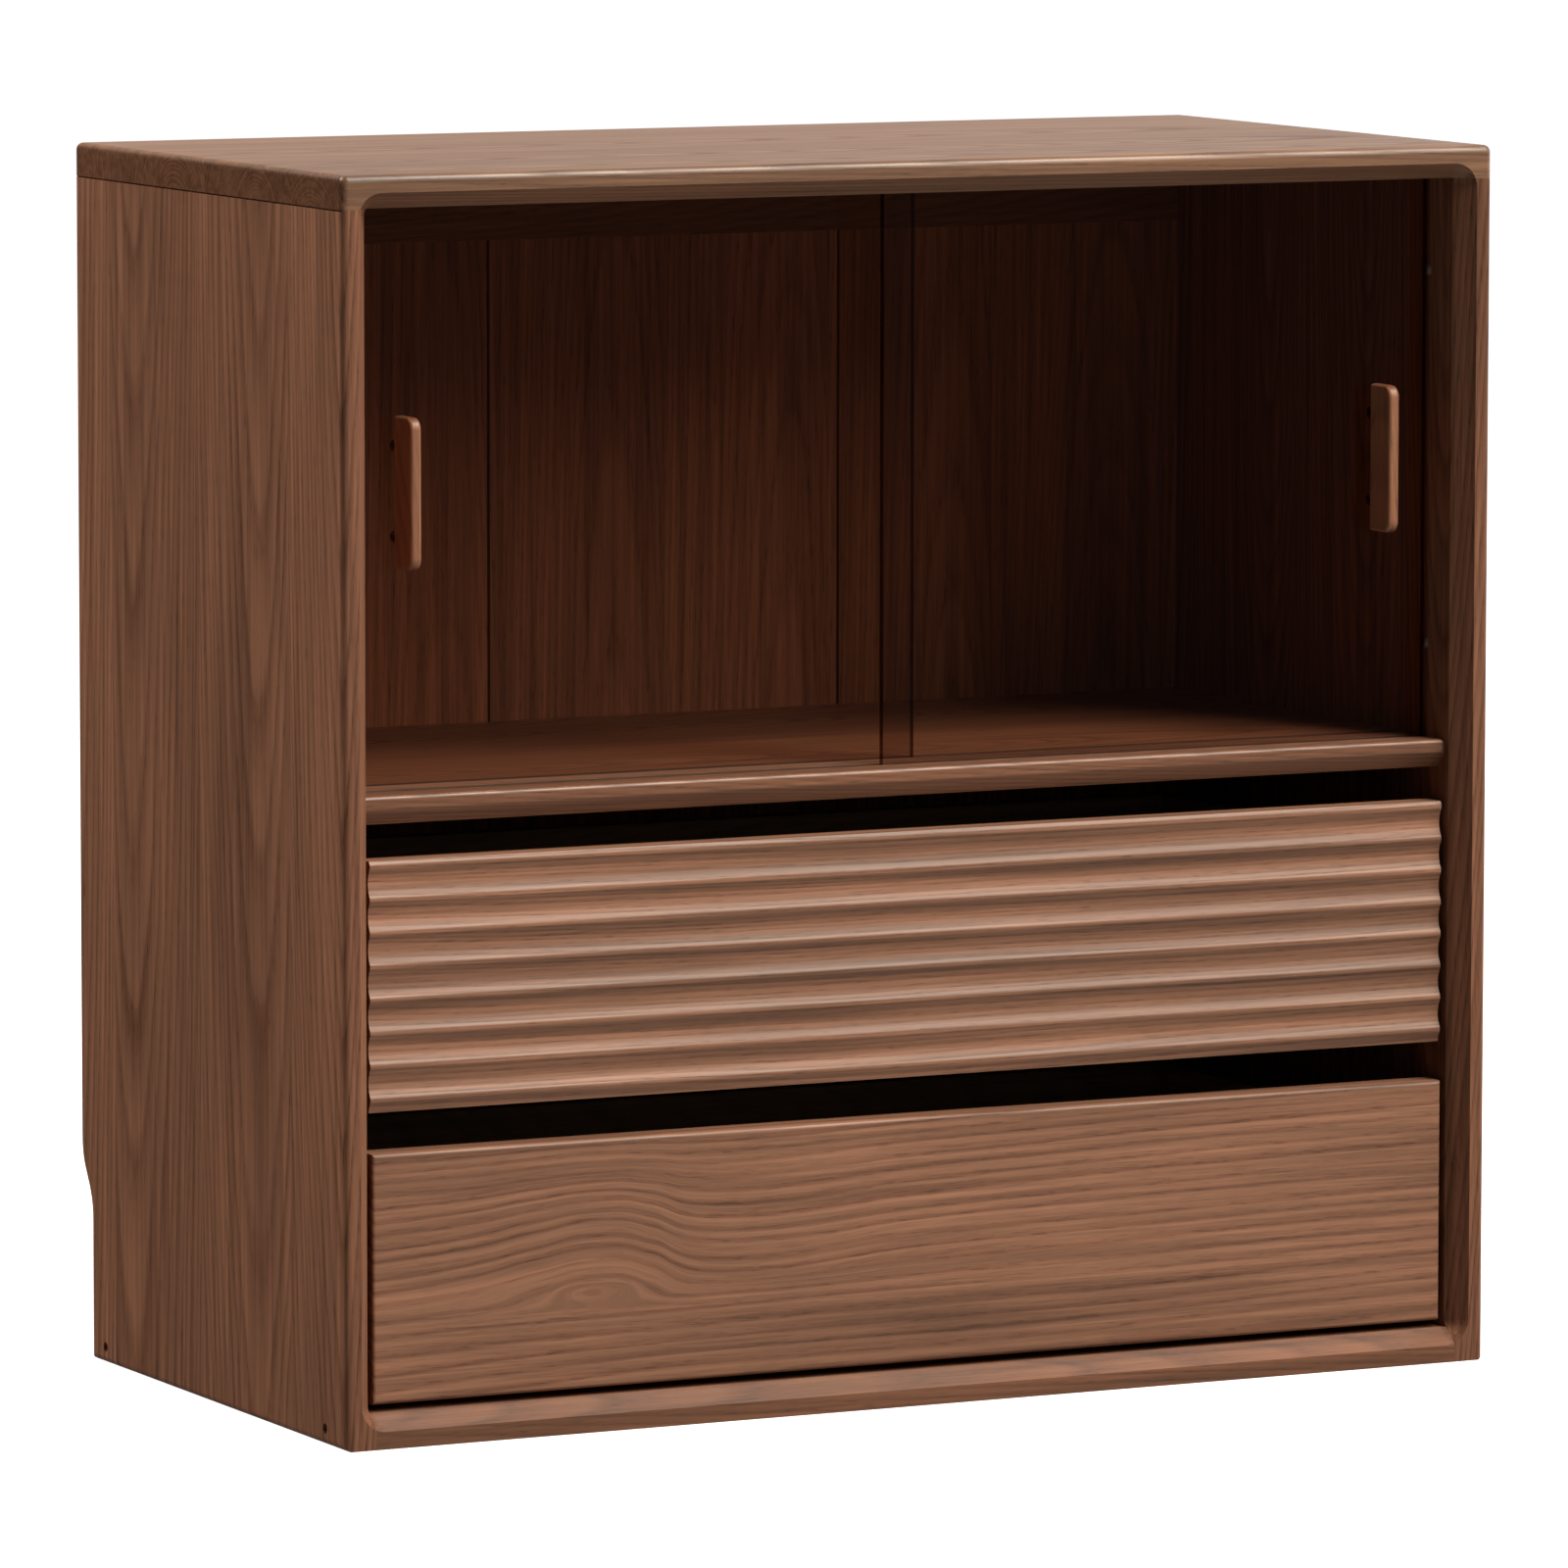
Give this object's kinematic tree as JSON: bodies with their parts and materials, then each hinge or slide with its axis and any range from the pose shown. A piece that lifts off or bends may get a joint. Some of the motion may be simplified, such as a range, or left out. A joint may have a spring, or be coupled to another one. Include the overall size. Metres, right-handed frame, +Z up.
{
  "type": "media cabinet",
  "caption": "Low wooden cabinet on a frame that reaches the floor: two sliding tinted glass doors over a fluted drawer and a flat drawer, on telescopic runners.",
  "frame": {"origin": "on the floor, at the centre of the footprint's bounding box", "axes": "+X to the cabinet's right as seen from the front, +Y to the back, +Z up"},
  "size_m": [0.8, 0.415, 0.78],
  "materials": {
    "carcass_wood": "satin brown stain over open grain",
    "shelf_wood": "satin brown stain over open grain",
    "front_wood": "satin brown stain over bold cathedral grain",
    "back_wood": "satin brown stain, vertical boards",
    "handle_wood": "satin, rounded by hand sanding",
    "box_wood": "clear lacquer",
    "dowel_wood": "raw beech",
    "tinted_glass": "polished brown-grey tinted safety glass",
    "track_plastic": "extruded dark brown",
    "bumper_rubber": "clear soft dome",
    "runner_steel": "zinc plated",
    "screw_steel": "dark zinc plated"
  },
  "bodies": {
    "carcass": {"back_board_centre": "back_wood", "back_board_left": "back_wood", "back_board_right": "back_wood", "back_top_rail": "back_wood", "bottom_panel": "carcass_wood", "carcass_dowels": "dowel_wood", "carcass_screws": "screw_steel", "left_door_bumpers": "bumper_rubber", "left_side_panel": "carcass_wood", "lower_front_track": "track_plastic", "lower_left_runner_outer": "runner_steel", "lower_rear_track": "track_plastic", "lower_right_runner_outer": "runner_steel", "middle_shelf": "shelf_wood", "right_door_bumpers": "bumper_rubber", "right_side_panel": "carcass_wood", "runner_screws": "screw_steel", "top_panel": "carcass_wood", "upper_front_track": "track_plastic", "upper_left_runner_outer": "runner_steel", "upper_rear_track": "track_plastic", "upper_right_runner_outer": "runner_steel"},
    "left_door": {"left_door_handle": "handle_wood", "left_glass_door": "tinted_glass", "left_handle_screws": "screw_steel"},
    "right_door": {"right_door_handle": "handle_wood", "right_glass_door": "tinted_glass", "right_handle_screws": "screw_steel"},
    "upper_drawer": {"upper_drawer_back": "box_wood", "upper_drawer_dowels": "dowel_wood", "upper_drawer_floor": "box_wood", "upper_drawer_front": "front_wood", "upper_drawer_left_side": "box_wood", "upper_drawer_right_side": "box_wood", "upper_drawer_screws": "screw_steel", "upper_left_runner_inner": "runner_steel", "upper_right_runner_inner": "runner_steel"},
    "lower_drawer": {"lower_drawer_back": "box_wood", "lower_drawer_dowels": "dowel_wood", "lower_drawer_floor": "box_wood", "lower_drawer_front": "front_wood", "lower_drawer_left_side": "box_wood", "lower_drawer_right_side": "box_wood", "lower_drawer_screws": "screw_steel", "lower_left_runner_inner": "runner_steel", "lower_right_runner_inner": "runner_steel"},
    "upper_runner_slides": {"upper_left_runner_middle": "runner_steel", "upper_right_runner_middle": "runner_steel"},
    "lower_runner_slides": {"lower_left_runner_middle": "runner_steel", "lower_right_runner_middle": "runner_steel"}
  },
  "joints": [
    {"name": "left_door_slide", "type": "slide", "parent": "carcass", "child": "left_door", "axis": [1, 0, 0], "range_m": [0, 0.35]},
    {"name": "right_door_slide", "type": "slide", "parent": "carcass", "child": "right_door", "axis": [1, 0, 0], "range_m": [-0.35, 0]},
    {"name": "upper_drawer_slide", "type": "slide", "parent": "carcass", "child": "upper_drawer", "axis": [0, -1, 0], "range_m": [0, 0.3]},
    {"name": "lower_drawer_slide", "type": "slide", "parent": "carcass", "child": "lower_drawer", "axis": [0, -1, 0], "range_m": [0, 0.3]},
    {"name": "upper_runner_slide", "type": "slide", "parent": "carcass", "child": "upper_runner_slides", "axis": [0, -1, 0], "range_m": [0, 0.15]},
    {"name": "lower_runner_slide", "type": "slide", "parent": "carcass", "child": "lower_runner_slides", "axis": [0, -1, 0], "range_m": [0, 0.15]}
  ],
  "couplings": [
    {"joint": "upper_runner_slide", "follows": "upper_drawer_slide", "ratio": 0.5},
    {"joint": "lower_runner_slide", "follows": "lower_drawer_slide", "ratio": 0.5}
  ]
}
